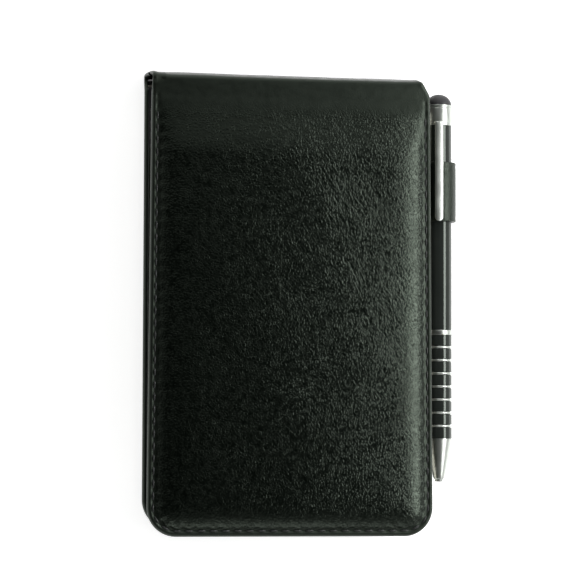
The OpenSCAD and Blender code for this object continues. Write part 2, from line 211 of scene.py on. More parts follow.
def apply_modifier(piece, kind, sharp, **settings):
    """Bakes one modifier into the piece's mesh."""
    modifier = piece.modifiers.new(kind.lower(), kind)
    for key, value in settings.items():
        setattr(modifier, key, value)
    graph = bpy.context.evaluated_depsgraph_get()
    mesh = bpy.data.meshes.new_from_object(piece.evaluated_get(graph))
    piece.modifiers.clear()
    old = piece.data
    piece.data = mesh
    bpy.data.meshes.remove(old)
    mesh.name = piece.name
    finish_mesh(piece, sharp)
    return piece


def thicken(piece, thickness, sharp=60):
    return apply_modifier(piece, "SOLIDIFY", sharp, thickness=thickness * MM, offset=-1)


def bevel(piece, width, segments=2):
    return apply_modifier(piece, "BEVEL", 50, width=width * MM, segments=segments,
                          limit_method="ANGLE", angle_limit=math.radians(40))


def merge(name, pieces):
    """One piece with that name and the meshes of them all."""
    whole, *others = pieces
    joined = bmesh.new()
    for piece in pieces:
        joined.from_mesh(piece.data)
    joined.to_mesh(whole.data)
    joined.free()
    for piece in others:
        bpy.data.objects.remove(piece)
    whole.name = name
    return whole


def across_panel(columns, left, right, s):
    """Grids of x and s. Columns go from -1 to 1 and reach the half widths left and right at s."""
    c = columns[None, :]
    x = np.where(c < 0, c * left[:, None], c * right[:, None])
    return x, np.repeat(s[:, None], len(columns), axis=1)


def corner_fall(radius, before_centre):
    """How far a round corner falls back from the panel's side, as a number below zero."""
    short = np.clip(before_centre, 0, radius)
    return np.sqrt(np.clip(radius ** 2 - short ** 2, 0, None)) - radius


def grid_faces(rows, columns, flip=False):
    faces = []
    for j in range(rows - 1):
        for i in range(columns - 1):
            a = j * columns + i
            quad = (a, a + 1, a + columns + 1, a + columns)
            faces.append(quad[::-1] if flip else quad)
    return faces


def tube_faces(rings, sides, first=0):
    """Faces between rings of points, each ring closed on itself."""
    faces = []
    for j in range(rings - 1):
        for i in range(sides):
            a, b = first + j * sides + i, first + j * sides + (i + 1) % sides
            faces.append((a, b, b + sides, a + sides))
    return faces


def capped(rings, sides, first=0):
    """A tube's faces with both ends closed."""
    start = tuple(range(first, first + sides))
    end = tuple(range(first + (rings - 1) * sides, first + rings * sides))
    return tube_faces(rings, sides, first) + [start[::-1], end]


# ---------- materials ----------

class Shader:
    """A material that is being built from nodes. Its texture space is millimetres."""

    def __init__(self, name, on_cad=False):
        self.material = bpy.data.materials.new(name)
        self.material.use_nodes = True
        self.tree = self.material.node_tree
        self.surface = self.tree.nodes["Principled BSDF"]
        if on_cad:
            source = self.tree.nodes.new("ShaderNodeTexCoord").outputs["Object"]
            self.place = self.vector("SCALE", source, scale=1 / MM)
        else:
            self.place = self.value("rest", "Vector")

    def node(self, kind, inputs=None, **settings):
        node = self.tree.nodes.new(kind)
        for key, value in settings.items():
            setattr(node, key, value)
        for key, value in (inputs or {}).items():
            self.feed(node.inputs[key], value)
        return node

    def feed(self, socket, value):
        if isinstance(value, bpy.types.NodeSocket):
            self.tree.links.new(value, socket)
        else:
            socket.default_value = value

    def value(self, attribute, output="Fac"):
        return self.node("ShaderNodeAttribute", attribute_name=attribute).outputs[output]

    def vector(self, operation, a, b=(0, 0, 0), scale=1.0):
        node = self.node("ShaderNodeVectorMath", {0: a, 1: b}, operation=operation)
        node.inputs[3].default_value = scale
        return node.outputs[0]

    def stretch(self, factors):
        return self.vector("MULTIPLY", self.place, factors)

    def split(self, place=None):
        return self.node("ShaderNodeSeparateXYZ", {0: place or self.place}).outputs

    def math(self, operation, a, b=0.0, clamp=False):
        node = self.node("ShaderNodeMath", {0: a, 1: b}, operation=operation)
        node.use_clamp = clamp
        return node.outputs[0]

    def times(self, a, b, clamp=False):
        return self.math("MULTIPLY", a, b, clamp)

    def minus(self, a, b):
        return self.math("SUBTRACT", a, b)

    def noise(self, scale, detail, place=None):
        inputs = {"Vector": place or self.place, "Scale": scale, "Detail": detail}
        return self.node("ShaderNodeTexNoise", inputs).outputs["Fac"]

    def warped(self, amount, scale):
        """The texture's place, pushed about by noise."""
        inputs = {"Vector": self.place, "Scale": scale, "Detail": 2.0}
        push = self.node("ShaderNodeTexNoise", inputs).outputs["Color"]
        centred = self.vector("SUBTRACT", push, (0.5, 0.5, 0.5))
        return self.vector("ADD", self.place, self.vector("SCALE", centred, scale=amount))

    def cells(self, scale, place=None, feature="DISTANCE_TO_EDGE"):
        inputs = {"Vector": place or self.place, "Scale": scale}
        node = self.node("ShaderNodeTexVoronoi", inputs, feature=feature)
        return node.outputs["Distance"]

    def ramp(self, value, low, high, to_low=0.0, to_high=1.0):
        inputs = {"Value": value, "From Min": low, "From Max": high,
                  "To Min": to_low, "To Max": to_high}
        return self.node("ShaderNodeMapRange", inputs, interpolation_type="SMOOTHSTEP").outputs[0]

    def wave(self, value, period):
        """A sine from 0 to 1 with that period."""
        angle = self.times(value, 2 * math.pi / period)
        return self.math("MULTIPLY_ADD", self.math("SINE", angle), 0.5)

    def colour(self, factor, low, high):
        """A mix of two colours, each a tuple or another node's output."""
        node = self.node("ShaderNodeMix", {0: factor}, data_type="RGBA")
        for index, value in ((6, low), (7, high)):
            self.feed(node.inputs[index], (*value, 1.0) if isinstance(value, tuple) else value)
        return node.outputs[2]

    def wrinkles(self, heading, along, across, place):
        """Ridges from 0 to 1 that run at a heading: features 1/along long and 1/across apart."""
        c, t = math.cos(heading), math.sin(heading)
        run = self.node("ShaderNodeVectorMath", {0: place, 1: (c, t, 0)}, operation="DOT_PRODUCT")
        side = self.node("ShaderNodeVectorMath", {0: place, 1: (-t, c, 0)}, operation="DOT_PRODUCT")
        turned = self.node("ShaderNodeCombineXYZ", {
            0: self.times(run.outputs["Value"], along),
            1: self.times(side.outputs["Value"], across)}).outputs[0]
        swing = self.math("ABSOLUTE", self.minus(self.noise(1.0, 1.0, turned), 0.5))
        return self.ramp(swing, 0.0, 0.07, 1.0, 0.0)

    def total(self, *heights):
        sum_so_far = heights[0]
        for height in heights[1:]:
            sum_so_far = self.math("ADD", sum_so_far, height)
        return sum_so_far

    def finish(self, colour=None, roughness=None, relief=None, **constants):
        """Sets the shader's sockets. The relief is a height in millimetres."""
        if colour is not None:
            self.feed(self.surface.inputs["Base Color"], colour)
        if roughness is not None:
            self.feed(self.surface.inputs["Roughness"], roughness)
        if relief is not None:
            inputs = {"Height": relief, "Distance": MM, "Strength": 1.0}
            self.feed(self.surface.inputs["Normal"], self.node("ShaderNodeBump", inputs).outputs[0])
        for key, value in constants.items():
            self.surface.inputs[key.replace("_", " ")].default_value = value
        return self.material


PEBBLE_DEPTH = 0.040
GRAIN_DEPTH = 0.020
# Heading in degrees, scale along and across, how far and at what scale it is pushed about, depth.
WRINKLES = ((-56, 0.15, 0.62, (2.6, 0.22), -0.034), (-84, 0.24, 0.85, (2.0, 0.3), -0.018))
SWELL_DEPTH = 0.05
CALM_RELIEF = 0.85
CALM_DULLING = 0.22
GREEN_SHINE = (0.83, 1.0, 0.81, 1.0)
WEAVE_PITCH = 0.42
TAPE_RIB = 0.34


def leather(name, grain=1.0, creases=1.0, shine=0.24, masked=False):
    """Black coated leather: pebbled grain with a few pulled, slanting wrinkles, mostly up and to
    the right, and calm where it is stretched smooth over an edge."""
    s = Shader(name)
    pebbles = s.ramp(s.cells(1.35, s.warped(0.35, 1.1)), 0.0, 0.30, -0.5, 0.5)
    fine = s.noise(3.0, 2.0)
    across, along, _ = s.split()
    pulled = s.times(s.ramp(across, -24, 14, 0.15, 1.0), s.ramp(along, 15, 75, 0.35, 1.0))
    pulled = s.times(pulled, s.ramp(s.noise(0.06, 1.0), 0.38, 0.62, 0.35, 1.0))
    wrinkles = s.total(*(
        s.times(s.wrinkles(math.radians(heading), long, wide, s.warped(*push)), depth)
        for heading, long, wide, push, depth in WRINKLES))
    relief = s.total(s.times(pebbles, PEBBLE_DEPTH * grain), s.times(fine, GRAIN_DEPTH * grain),
                     s.times(pulled, s.times(wrinkles, creases)))
    if masked:
        relief = s.times(relief, s.minus(1.0, s.times(s.value("calm"), CALM_RELIEF)))
    relief = s.total(relief, s.times(s.noise(0.10, 1.0), SWELL_DEPTH))
    worn = s.noise(0.07, 3.0)
    tint = s.colour(worn, (0.0004, 0.0011, 0.0006), (0.0012, 0.0021, 0.0014))
    rough = s.ramp(s.noise(0.5, 3.0), 0.3, 0.7, shine - 0.03, shine + 0.04)
    if masked:
        rough = s.total(rough, s.times(s.value("calm"), CALM_DULLING))
    return s.finish(tint, rough, relief, Specular_Tint=GREEN_SHINE)


def lining_weave():
    """Plain woven black cloth, with a painted highlight on its raised crossings and a painted shade in
    its hollows, in random patches.
    """
    s = Shader("lining_cloth")
    x, y, _ = s.split(s.warped(0.1, 0.8))
    over, under = s.wave(x, WEAVE_PITCH), s.wave(y, WEAVE_PITCH)
    weave = s.total(s.times(over, under), s.times(s.minus(1.0, over), s.minus(1.0, under)))
    relief = s.total(s.times(weave, 0.05), s.times(s.noise(6.0, 3.0), 0.02))
    # painted highlight on the raised crossings and painted shade in the hollows, in random patches
    shade = s.times(weave, s.noise(0.3, 3.0), clamp=True)
    return s.finish(s.colour(shade, (0.010, 0.010, 0.011), (0.045, 0.045, 0.05)),
                    s.ramp(weave, 0, 1, 0.9, 0.72), relief, Sheen_Weight=0.25)


def waxed_thread():
    """Two-ply thread, whose twist is in its mesh; here only the fibres and the wax."""
    s = Shader("waxed_thread")
    fibres = s.noise(9.0, 3.0)
    return s.finish(s.colour(fibres, (0.008, 0.009, 0.009), (0.03, 0.033, 0.031)),
                    s.ramp(fibres, 0.3, 0.7, 0.32, 0.5), s.times(fibres, 0.03))


def paper(name, ruled):
    """Ivory paper. Ruled leaves carry pale lines and a row of perforations below the head."""
    s = Shader(name)
    fibre = s.noise(2.5, 4.0)
    cloud = s.noise(0.05, 3.0)
    ivory = s.colour(cloud, (0.80, 0.765, 0.68), (0.87, 0.84, 0.76))
    if ruled:
        x, y, _ = s.split()
        step = s.math("FRACT", s.math("DIVIDE", y, RULE_PITCH))
        row = s.math("ABSOLUTE", s.minus(step, 0.5))
        line = s.ramp(row, 0.0, 0.028, 1.0, 0.0)
        inside = s.math("LESS_THAN", y, RULE_TOP)
        ivory = s.colour(s.times(line, inside), ivory, (0.33, 0.42, 0.50))
        across = s.math("ABSOLUTE", s.minus(y, PERFORATION_Y))
        slot_end = s.math("GREATER_THAN", s.math("FRACT", s.math("DIVIDE", x, 1.6)), 0.45)
        cuts = s.times(s.math("LESS_THAN", across, 0.09), slot_end)
        ivory = s.colour(cuts, ivory, (0.30, 0.28, 0.24))
    return s.finish(ivory, s.ramp(fibre, 0.3, 0.7, 0.72, 0.88), s.times(fibre, 0.008))


def pressed_board(name, on_cad):
    """Grey board with pale flecks."""
    s = Shader(name, on_cad)
    fleck = s.noise(1.4, 5.0)
    return s.finish(s.colour(fleck, (0.20, 0.18, 0.15), (0.42, 0.38, 0.32)), 0.9,
                    s.times(s.noise(3.0, 3.0), 0.05))


def binding_tape():
    """Black book tape: fine crossing ribs."""
    s = Shader("binding_tape")
    x, y, z = s.split()
    ribs = s.times(s.wave(x, TAPE_RIB), s.wave(s.math("ADD", y, z), TAPE_RIB))
    return s.finish(s.colour(s.noise(0.4, 3.0), (0.008, 0.008, 0.009), (0.02, 0.02, 0.022)),
                    s.ramp(ribs, 0, 1, 0.62, 0.42), s.times(ribs, 0.035))


def open_foam():
    s = Shader("open_foam")
    # the pores' pits are sunk by the bump and painted darker: painted shade in the hollows
    pore_pits_and_shade = s.ramp(s.cells(2.2, feature="F1"), 0.1, 0.5)
    return s.finish(s.colour(pore_pits_and_shade, (0.012, 0.012, 0.013), (0.06, 0.06, 0.065)), 0.95,
                    s.times(pore_pits_and_shade, 0.15))


def chrome():
    """Satin plate with faint turning marks and a few wiped smears."""
    s = Shader("chrome")
    marks = s.noise(1.0, 2.0, s.stretch((0.4, 14.0, 0.4)))
    smear = s.noise(0.22, 4.0)
    return s.finish(s.colour(smear, (0.50, 0.53, 0.49), (0.62, 0.65, 0.61)),
                    s.ramp(smear, 0.35, 0.7, 0.31, 0.38), s.times(marks, 0.0012),
                    Metallic=1.0)


def lacquer():
    """Glossy black lacquer with a little orange peel and fine wiping lines."""
    s = Shader("black_lacquer")
    peel = s.noise(0.9, 2.0)
    wiped = s.noise(1.0, 3.0, s.stretch((5.0, 0.25, 5.0)))
    return s.finish(s.colour(s.noise(0.2, 3.0), (0.017, 0.020, 0.018), (0.025, 0.029, 0.026)),
                    s.ramp(wiped, 0.3, 0.75, 0.07, 0.13), s.times(peel, 0.004), IOR=1.5,
                    Specular_Tint=(0.9, 1.0, 0.9, 1.0))


def soft_rubber():
    s = Shader("soft_rubber")
    dust = s.noise(1.6, 5.0)
    return s.finish(s.colour(dust, (0.012, 0.012, 0.013), (0.032, 0.032, 0.034)),
                    s.ramp(dust, 0.3, 0.7, 0.42, 0.6), s.times(s.noise(7.0, 3.0), 0.012))


def turned_metal(name, low, high, roughness):
    """Machined metal on the pen's inner CAD pieces, with turning marks round the axis."""
    s = Shader(name, on_cad=True)
    marks = s.noise(1.0, 3.0, s.stretch((0.3, 9.0, 0.3)))
    return s.finish(s.colour(s.noise(0.5, 3.0), low, high),
                    s.ramp(marks, 0.3, 0.7, roughness, roughness + 0.15),
                    s.times(marks, 0.006), Metallic=1.0)


def moulded_plastic():
    s = Shader("moulded_plastic", on_cad=True)
    return s.finish(s.colour(s.noise(0.4, 3.0), (0.70, 0.70, 0.68), (0.80, 0.80, 0.78)),
                    s.ramp(s.noise(2.0, 3.0), 0.3, 0.7, 0.35, 0.5),
                    s.times(s.noise(4.0, 3.0), 0.01))


# ---------- cover leather ----------

EDGE_RX = 0.85  # how far the rolled edge stands out from the flat part
FLARE = (0.5, -0.25)  # the front's extra half width at its foot and at its fold
TRIM_START = PANEL_L - 3.8
TRIM_LENGTH = 5.4
LEAN = math.degrees(math.atan2(BACK_AXIS.y - FRONT_AXIS.y, FRONT_AXIS.z - BACK_AXIS.z))
SPINE_CHORD = math.hypot(BACK_AXIS.y - FRONT_AXIS.y, FRONT_AXIS.z - BACK_AXIS.z)
OUT = (math.cos(math.radians(LEAN)), math.sin(math.radians(LEAN)))
SEAM_OVERLAP = 1.0  # how far the two leathers overlap in the middle of the spine
SEAM_SINK = 0.012
GROOVE_H, GROOVE_BEAT, GROOVE_W = 0.24, 0.12, 0.42
BACK_H, BACK_GROOVE = 0.5, 0.6
SPINE_BOW = 0.55
FOLD_BULGE = 0.45
SCALLOP_H, SCALLOP_RUN = 0.30, 1.4
RIPPLES = ((0.055, 0.16), (0.16, 0.05), (0.5, 0.016))  # scale and depth
SPINE_THICK = 1.05
BACK_RIPPLE = 0.25
BACK_CALM = 0.35
EDGE_CALM = 0.8
TEXTURE_GAP = 14


def mid_spine(out, down=0.0):
    """A point out from the middle of the spine and down along it."""
    return ((FRONT_AXIS.y + BACK_AXIS.y) / 2 + out * OUT[0] + down * OUT[1],
            (FRONT_AXIS.z + BACK_AXIS.z) / 2 + out * OUT[1] - down * OUT[0])


class Skin:
    """One leather of the cover, from a panel's free edge over its fold to the middle of the spine.

    A point on it is x across and s along, from the free edge. Its height is measured outwards
    from the base line, which passes FOLD_R outside both fold axes."""

    def __init__(self, front):
        self.front = front
        axis = FRONT_AXIS if front else BACK_AXIS
        free_y = FRONT_LO.y if front else BACK_LO.y
        way = 1 if front else -1
        points = [(free_y, axis.z + way * FOLD_R), *arc((axis.y, axis.z), FOLD_R, way * 90, LEAN, 24),
                  mid_spine(FOLD_R), mid_spine(FOLD_R, way * SEAM_OVERLAP)]
        self.path = Path(points, way)
        self.seam_s = self.path.length - SEAM_OVERLAP
        self.bend_s = axis.y - free_y
        self.bend_l = FOLD_R * math.radians(abs(way * 90 - LEAN))
        self.flip = not front

    def half(self, s, right):
        """Half width at s. The pen's side narrows to the spine, and the front flares a little."""
        flare = np.interp(s, [0, self.bend_s], FLARE) if self.front else 0
        trim = SPINE_TRIM * ease(TRIM_START, TRIM_START + TRIM_LENGTH, s) if right else 0
        return HALF_W + flare - trim

    def edge(self, x, s):
        """Distance in from the nearest free edge, and distance along the stitch line."""
        x, s = np.asarray(x, float), np.asarray(s, float)
        right = x > 0
        half = np.where(right, self.half(s, True), self.half(s, False))
        ax = np.abs(x)
        core = half - CORNER_R
        turn = CORNER_R - STITCH_INSET
        corner = (ax > core) & (s < CORNER_R)
        to_side, to_foot = half - ax, s
        radial = np.hypot(ax - core, CORNER_R - s)
        d = np.where(corner, CORNER_R - radial, np.minimum(to_side, to_foot))
        bend = np.arctan2(ax - core, CORNER_R - s)
        u_side = core + turn * math.pi / 2 + s - CORNER_R
        u = np.where(corner, core + turn * bend, np.where(to_side < to_foot, u_side, ax))
        return d, np.sign(x) * u

    def height(self, x, s):
        """Height of the face: the stitched groove, then the back's bow or the front's crown."""
        d, u = self.edge(x, s)
        stitched = 1 - ease(self.bend_s - 5.5, self.bend_s - 3.5, s)
        beat = np.cos(2 * np.pi * u / STITCH_PITCH)
        dip = np.exp(-((d - STITCH_INSET) / GROOVE_W) ** 2)
        groove = stitched * (GROOVE_H + GROOVE_BEAT * beat) * dip
        along = (s - self.bend_s - self.bend_l) / SPINE_CHORD
        bow = SPINE_BOW * np.sin(np.pi * np.clip(along, 0, 1)) * (s > self.bend_s)
        if not self.front:
            return BACK_H - BACK_GROOVE * groove + bow - 0.05 * ease(self.bend_s - 4, self.bend_s, s)
        fold = FOLD_BULGE * ease(self.bend_s - 4.5, self.bend_s - 0.4, s)
        scallop = SCALLOP_H * beat * np.exp(-np.abs(d - FLANK_START) / SCALLOP_RUN) * stitched
        flank = 1 - np.exp(-np.clip(d - FLANK_START - scallop, 0, None) / FLANK_RUN)
        head = ease(4.5, 21, self.bend_s - s)
        middle = self.bend_s / 2
        dome = (1 - (np.asarray(x) / HALF_W) ** 2) * (1 - np.abs((s - middle) / middle) ** 3)
        pillow = FLANK_H * flank * head + DOME_H * dome * (s < self.bend_s)
        return pillow - groove + fold + bow + self.ears(x, s)

    def ears(self, x, s):
        """The leather's turned ends stand out a little at both ends of the top fold."""
        x, s = np.asarray(x, float), np.asarray(s, float)
        near_fold = ease(self.bend_s - 1.5, self.bend_s + 0.4, s) * (
            1 - 0.8 * ease(self.bend_s + 1.5, self.bend_s + 8, s))
        left = 1.0 * np.exp(-np.abs(self.half(s, False) + x) / 2.0)
        right = 0.45 * np.exp(-np.abs(self.half(s, True) - x) / 2.6)
        return near_fold * (left + right)

    def ripple(self, x, s):
        """Slow unevenness of hand-turned leather, less on the outer rim."""
        out = np.zeros(len(x))
        for k, (a, b) in enumerate(zip(x, s)):
            for scale, depth in RIPPLES:
                out[k] += depth * noise.noise(Vector((a * scale, b * scale, 3.7 + self.flip)))
        d, _ = self.edge(x, s)
        return out * ease(0.8, 4.0, d) * (1.0 if self.front else BACK_RIPPLE)

    def calm(self, x, s):
        """Where the grain is pulled smooth: at the fold and the outer edge, less on the spine."""
        if not self.front:
            return BACK_CALM * ease(self.bend_s - 4, self.bend_s, s)
        d, _ = self.edge(x, s)
        band = np.maximum(ease(self.bend_s - 11, self.bend_s - 5, s), 1 - ease(1.8, 2.6, d))
        return band * (1 - 0.65 * ease(self.bend_s + 1, self.bend_s + 4, s))

    def thickness(self, s):
        """Whole thickness of the turned edge: cover, board and lining, or only the spine."""
        panel = FRONT_HI.z - CROWN_H - FRONT_LO.z - 0.05 if self.front else BACK_HI.z - 0.05
        return np.interp(s, [self.bend_s - 3.6, self.bend_s - 1.0], [panel, SPINE_THICK])

    def points(self, x, s, lift=0.0, out=(0, 0)):
        """Points in space: lift is along the face's normal, out is a step across and along."""
        y, z, ny, nz = self.path.place(s + out[1])
        h = self.height(x, s) + self.ripple(x, s) + lift
        h = h - SEAM_SINK * (s > self.seam_s + 1e-6)
        return np.column_stack([x + out[0], y + ny * h, z + nz * h])

    def rows(self):
        """Places along, close together where the leather turns or is stitched."""
        turn = CORNER_R - EDGE_RX
        angles = np.linspace(0, math.pi / 2, 25)
        return join_runs(EDGE_RX + turn * (1 - np.cos(angles)), spread(CORNER_R, 13, 0.42),
                         spread(13, self.bend_s - 15, 0.85),
                         spread(self.bend_s - 15, self.bend_s - 6, 0.5),
                         spread(self.bend_s - 6, self.seam_s, 0.34), [self.seam_s, self.path.length])

    def columns(self):
        """Places across, from -1 at the left edge to 1 at the right."""
        half = HALF_W - EDGE_RX
        fine, middle = spread(half - 9.5, half, 0.34), spread(0, half - 9.5, 0.85)
        right = join_runs(middle, fine) / half
        return np.concatenate([-right[:0:-1], right])

    def grid(self):
        s = self.rows()
        fall = corner_fall(CORNER_R - EDGE_RX, CORNER_R - s)
        left, right = (self.half(s, on_right) - EDGE_RX + fall for on_right in (False, True))
        return across_panel(self.columns(), left, right, s)

    def rim(self, x):
        """The grid's free boundary, from the spine's left end round to its right end."""
        loop = [(j, 0) for j in range(len(x) - 1, 0, -1)]
        loop += [(0, i) for i in range(x.shape[1])]
        loop += [(j, x.shape[1] - 1) for j in range(1, len(x))]
        return loop


def edge_profile(thickness):
    """How the leather rolls over the edge and turns in under the lining: out and down."""
    half = thickness / 2
    roll = [(EDGE_RX * math.sin(a), -half * (1 - math.cos(a))) for a in np.linspace(0, math.pi, 12)[1:]]
    tuck = min(0.4, thickness - LEATHER_T - 0.3)
    return roll + [(-0.3, -thickness + 0.06), (-0.7, -thickness + tuck), (-1.6, -thickness + tuck),
                   (-2.8, -thickness + tuck)]


def build_skin(name, front, material):
    """A leather with its rolled edge: the face's grid, then strips round its free boundary."""
    skin = Skin(front)
    x, s = skin.grid()
    rows, columns = x.shape
    loop = skin.rim(x)
    previous = [j * columns + i for j, i in loop]
    rim_x, rim_s = (np.array([grid[j, i] for j, i in loop]) for grid in (x, s))
    x, s = x.ravel(), s.ravel()
    points = [skin.points(x, s)]
    rest = [np.column_stack([x, s, np.zeros_like(s)])]
    calm = [skin.calm(x, s)]
    faces = grid_faces(rows, columns, skin.flip)

    run_x, run_s = np.gradient(rim_x), np.gradient(rim_s)
    size = np.hypot(run_x, run_s)
    out_x, out_s = run_s / size, -run_x / size
    profiles = np.array([edge_profile(t) for t in skin.thickness(rim_s)])
    for out, down in profiles.transpose(1, 2, 0):
        first = sum(len(p) for p in points)
        points.append(skin.points(rim_x, rim_s, down, (out_x * out, out_s * out)))
        rest.append(np.column_stack([rim_x + out_x * out, rim_s + out_s * out, down]))
        calm.append(np.full(len(loop), EDGE_CALM))
        current = range(first, first + len(loop))
        for quad in zip(previous, previous[1:], current[1:], current):
            faces.append(quad if skin.flip else quad[::-1])
        previous = current
    rest = np.vstack(rest)
    if not front:  # the back's texture is taken from beyond the front's, so that they don't match
        rest = rest * np.array([1, -1, 1]) + np.array([0, 2 * PANEL_L + TEXTURE_GAP, 0])
    piece = add_piece(name, np.vstack(points), faces, material, rest=rest, sharp=75,
                      calm=np.concatenate(calm))
    return thicken(piece, LEATHER_T, sharp=75), skin


# ---------- stitches ----------

THREAD_SIDES = 8
THREAD_RINGS = 11
PLY_DEPTH = 0.16  # how much a ply stands out, as a share of the thread's radius
PLY_TURN = 5.5 * np.pi
STITCH_ARCH = 0.13
BACK_ARCH = -0.16  # the back's outer stitches are sunk, so that the cover lies flat on them


def seam_place(skin, u):
    """x and s on the U-shaped stitch line, u being measured from the middle of the foot."""
    side, along = math.copysign(1, u), abs(u)
    turn = CORNER_R - STITCH_INSET
    core = float(skin.half(0, side > 0)) - CORNER_R
    if along < core:
        return side * along, STITCH_INSET
    angle = (along - core) / turn
    if angle < math.pi / 2:
        return side * (core + turn * math.sin(angle)), CORNER_R - turn * math.cos(angle)
    s = CORNER_R + along - core - turn * math.pi / 2
    return side * (float(skin.half(s, side > 0)) - STITCH_INSET), s


def stitch_rings(line, normals, radius):
    """Rings of a two-ply thread along a line: the lobes turn as it goes."""
    line, normals = np.asarray(line), np.asarray(normals)
    tangents = np.gradient(line, axis=0)
    tangents /= np.linalg.norm(tangents, axis=1)[:, None]
    across = np.cross(tangents, normals)
    across /= np.linalg.norm(across, axis=1)[:, None]
    up = np.cross(across, tangents)
    angles = np.linspace(0, 2 * np.pi, THREAD_SIDES, endpoint=False)
    rings = []
    for k, centre in enumerate(line):
        t = k / (len(line) - 1)
        lobes = radius * (1 + PLY_DEPTH * np.cos(2 * angles - PLY_TURN * t))
        lobes = lobes * (1 - 0.45 * abs(2 * t - 1) ** 4)
        rings.append(centre + np.outer(lobes * np.cos(angles), across[k])
                     + np.outer(lobes * np.sin(angles), up[k]))
    return np.vstack(rings)


def add_stitches(name, lines, material):
    """One object from many short stitches, each a line of points with a normal at each point."""
    points, faces = [], []
    for line, normals in lines:
        first = sum(len(p) for p in points)
        points.append(stitch_rings(line, normals, THREAD_R))
        faces += capped(THREAD_RINGS, THREAD_SIDES, first)
    return add_piece(name, np.vstack(points), faces, material, sharp=180)


def cover_stitches(skin, inside):
    """Stitch lines along the U: on the outer face, or where the same stitches show inside."""
    turn = CORNER_R - STITCH_INSET
    half_run = HALF_W - CORNER_R + turn * math.pi / 2 + skin.bend_s - 5.2 - CORNER_R
    count = int(half_run / STITCH_PITCH)
    rng = random.Random(5 if skin.front else 6)
    lines = []
    for k in range(-count, count):
        centre = (k + 0.5) * STITCH_PITCH + rng.uniform(-0.06, 0.06)
        t = np.linspace(-1, 1, THREAD_RINGS)
        x, s = np.array([seam_place(skin, centre + 0.5 * STITCH_L * v) for v in t]).T
        arch = (STITCH_ARCH if skin.front or inside else BACK_ARCH) - 0.42 * np.abs(t) ** 4
        lift = -skin.thickness(s) - 0.02 - arch if inside else arch
        if inside:
            lift = lift - skin.height(x, s) - skin.ripple(x, s) + (0 if skin.front else BACK_H)
        points = skin.points(x, s, lift)
        ny, nz = skin.path.place(s)[2:]
        normals = np.column_stack([np.zeros_like(ny), ny, nz]) * (-1 if inside else 1)
        lines.append((points, normals))
    return lines


# ---------- linings, pockets and foam ----------

LINING_INSET = 0.95
LINING_T = 0.34
LINING_IN = -0.62  # the lining's middle line on the spine, from the line of the fold axes
PANEL_CORNER_R = CORNER_R - 1
PANEL_EDGE = 0.12
NOTCH_R, NOTCH_RISE = 11.0, 6.0


def lining_path(front):
    """The lining's middle line: flat on the panel, pressed up into the fold, then down the spine."""
    way = 1 if front else -1
    axis = FRONT_AXIS if front else BACK_AXIS
    free_y = (FRONT_LO.y if front else BACK_LO.y) + LINING_INSET
    flat_z = FRONT_LO.z + LINING_T / 2 if front else BACK_HI.z - LINING_T / 2
    hinge_z = axis.z + way * (FOLD_R + 0.35 - LEATHER_T - LINING_T)
    near = SPINE_CHORD / 2 - 0.5
    points = [(free_y, flat_z), (axis.y - 3.0, flat_z), (axis.y - 2.0, hinge_z),
              (mid_spine(LINING_IN, -way * near)[0], hinge_z), mid_spine(LINING_IN, way * 0.6)]
    return Path(rounded(points, [0, 0.7, 0.7, 0.9, 0], 6, closed=False), -way)


def build_lining(name, front, material):
    path = lining_path(front)
    radius = CORNER_R - LINING_INSET
    angles = np.linspace(0, math.pi / 2, 15)
    s = join_runs(radius * (1 - np.cos(angles)), spread(radius, PANEL_L - 8, 2.5),
                  spread(PANEL_L - 8, path.length, 0.3))
    left = HALF_W - LINING_INSET + corner_fall(radius, radius - s)
    right = left - SPINE_TRIM * ease(TRIM_START - 1.5, TRIM_START + TRIM_LENGTH - 1.5, s)
    columns = np.linspace(-1, 1, 41)
    faces = grid_faces(len(s), len(columns), front)
    x, s = (grid.ravel() for grid in across_panel(columns, left, right, s))
    y, z, ny, nz = path.place(s)
    lift = LINING_T / 2
    points = np.column_stack([x, y + ny * lift, z + nz * lift])
    rest = np.column_stack([x, s, np.zeros_like(s)])
    return thicken(add_piece(name, points, faces, material, rest=rest), LINING_T)


def foot_line(x, half, y0):
    """Where a round-cornered panel's foot runs, for places x across it."""
    over = np.clip(np.abs(x) - (half - PANEL_CORNER_R), 0, PANEL_CORNER_R)
    return y0 + PANEL_CORNER_R - np.sqrt(PANEL_CORNER_R ** 2 - over ** 2)


def mouth_line(x, mouth_y):
    """A pocket's mouth with a round thumb notch in its middle."""
    inside = NOTCH_R ** 2 - np.asarray(x, float) ** 2
    notch = mouth_y + NOTCH_RISE - np.sqrt(np.clip(inside, 0, None))
    reach = math.sqrt(NOTCH_R ** 2 - NOTCH_RISE ** 2)
    blend = ease(reach - 0.8, reach + 0.8, np.abs(x))
    return np.minimum(mouth_y, notch) * (1 - blend) + mouth_y * blend


def flat_panel(name, node, head, z, material, column_step=1.0):
    """A flat sheet from a node's round-cornered foot to the line head, between two heights z."""
    low, high = box_mm(node)
    half = high.x
    corner = join_runs(half - PANEL_CORNER_R * (1 - np.sin(np.linspace(0, math.pi / 2, 15))),
                       spread(0, half - CORNER_R + 1, column_step))
    x = np.concatenate([-corner[:0:-1], corner])
    rows = 24
    t = np.linspace(0, 1, rows)[:, None]
    y = foot_line(x, half, low.y)[None, :] * (1 - t) + head(x)[None, :] * t
    grid_x = np.repeat(x[None, :], rows, axis=0)
    points = np.column_stack([grid_x.ravel(), y.ravel(), np.full(y.size, z[1])])
    piece = add_piece(name, points, grid_faces(rows, len(x)), material)
    return bevel(thicken(piece, z[1] - z[0]), PANEL_EDGE)


def card_pocket(name, node, mouth_y, material, thread):
    """A card pocket on the front cover's inner face, with its stitched mouth."""
    low, high = box_mm(node)

    def head(x):
        return mouth_line(x, mouth_y)

    piece = flat_panel(name, node, head, (low.z + 0.02, high.z - 0.02), material, column_step=0.6)
    return piece, mouth_stitches(name + "_stitching", high.x, head, low.z, thread)


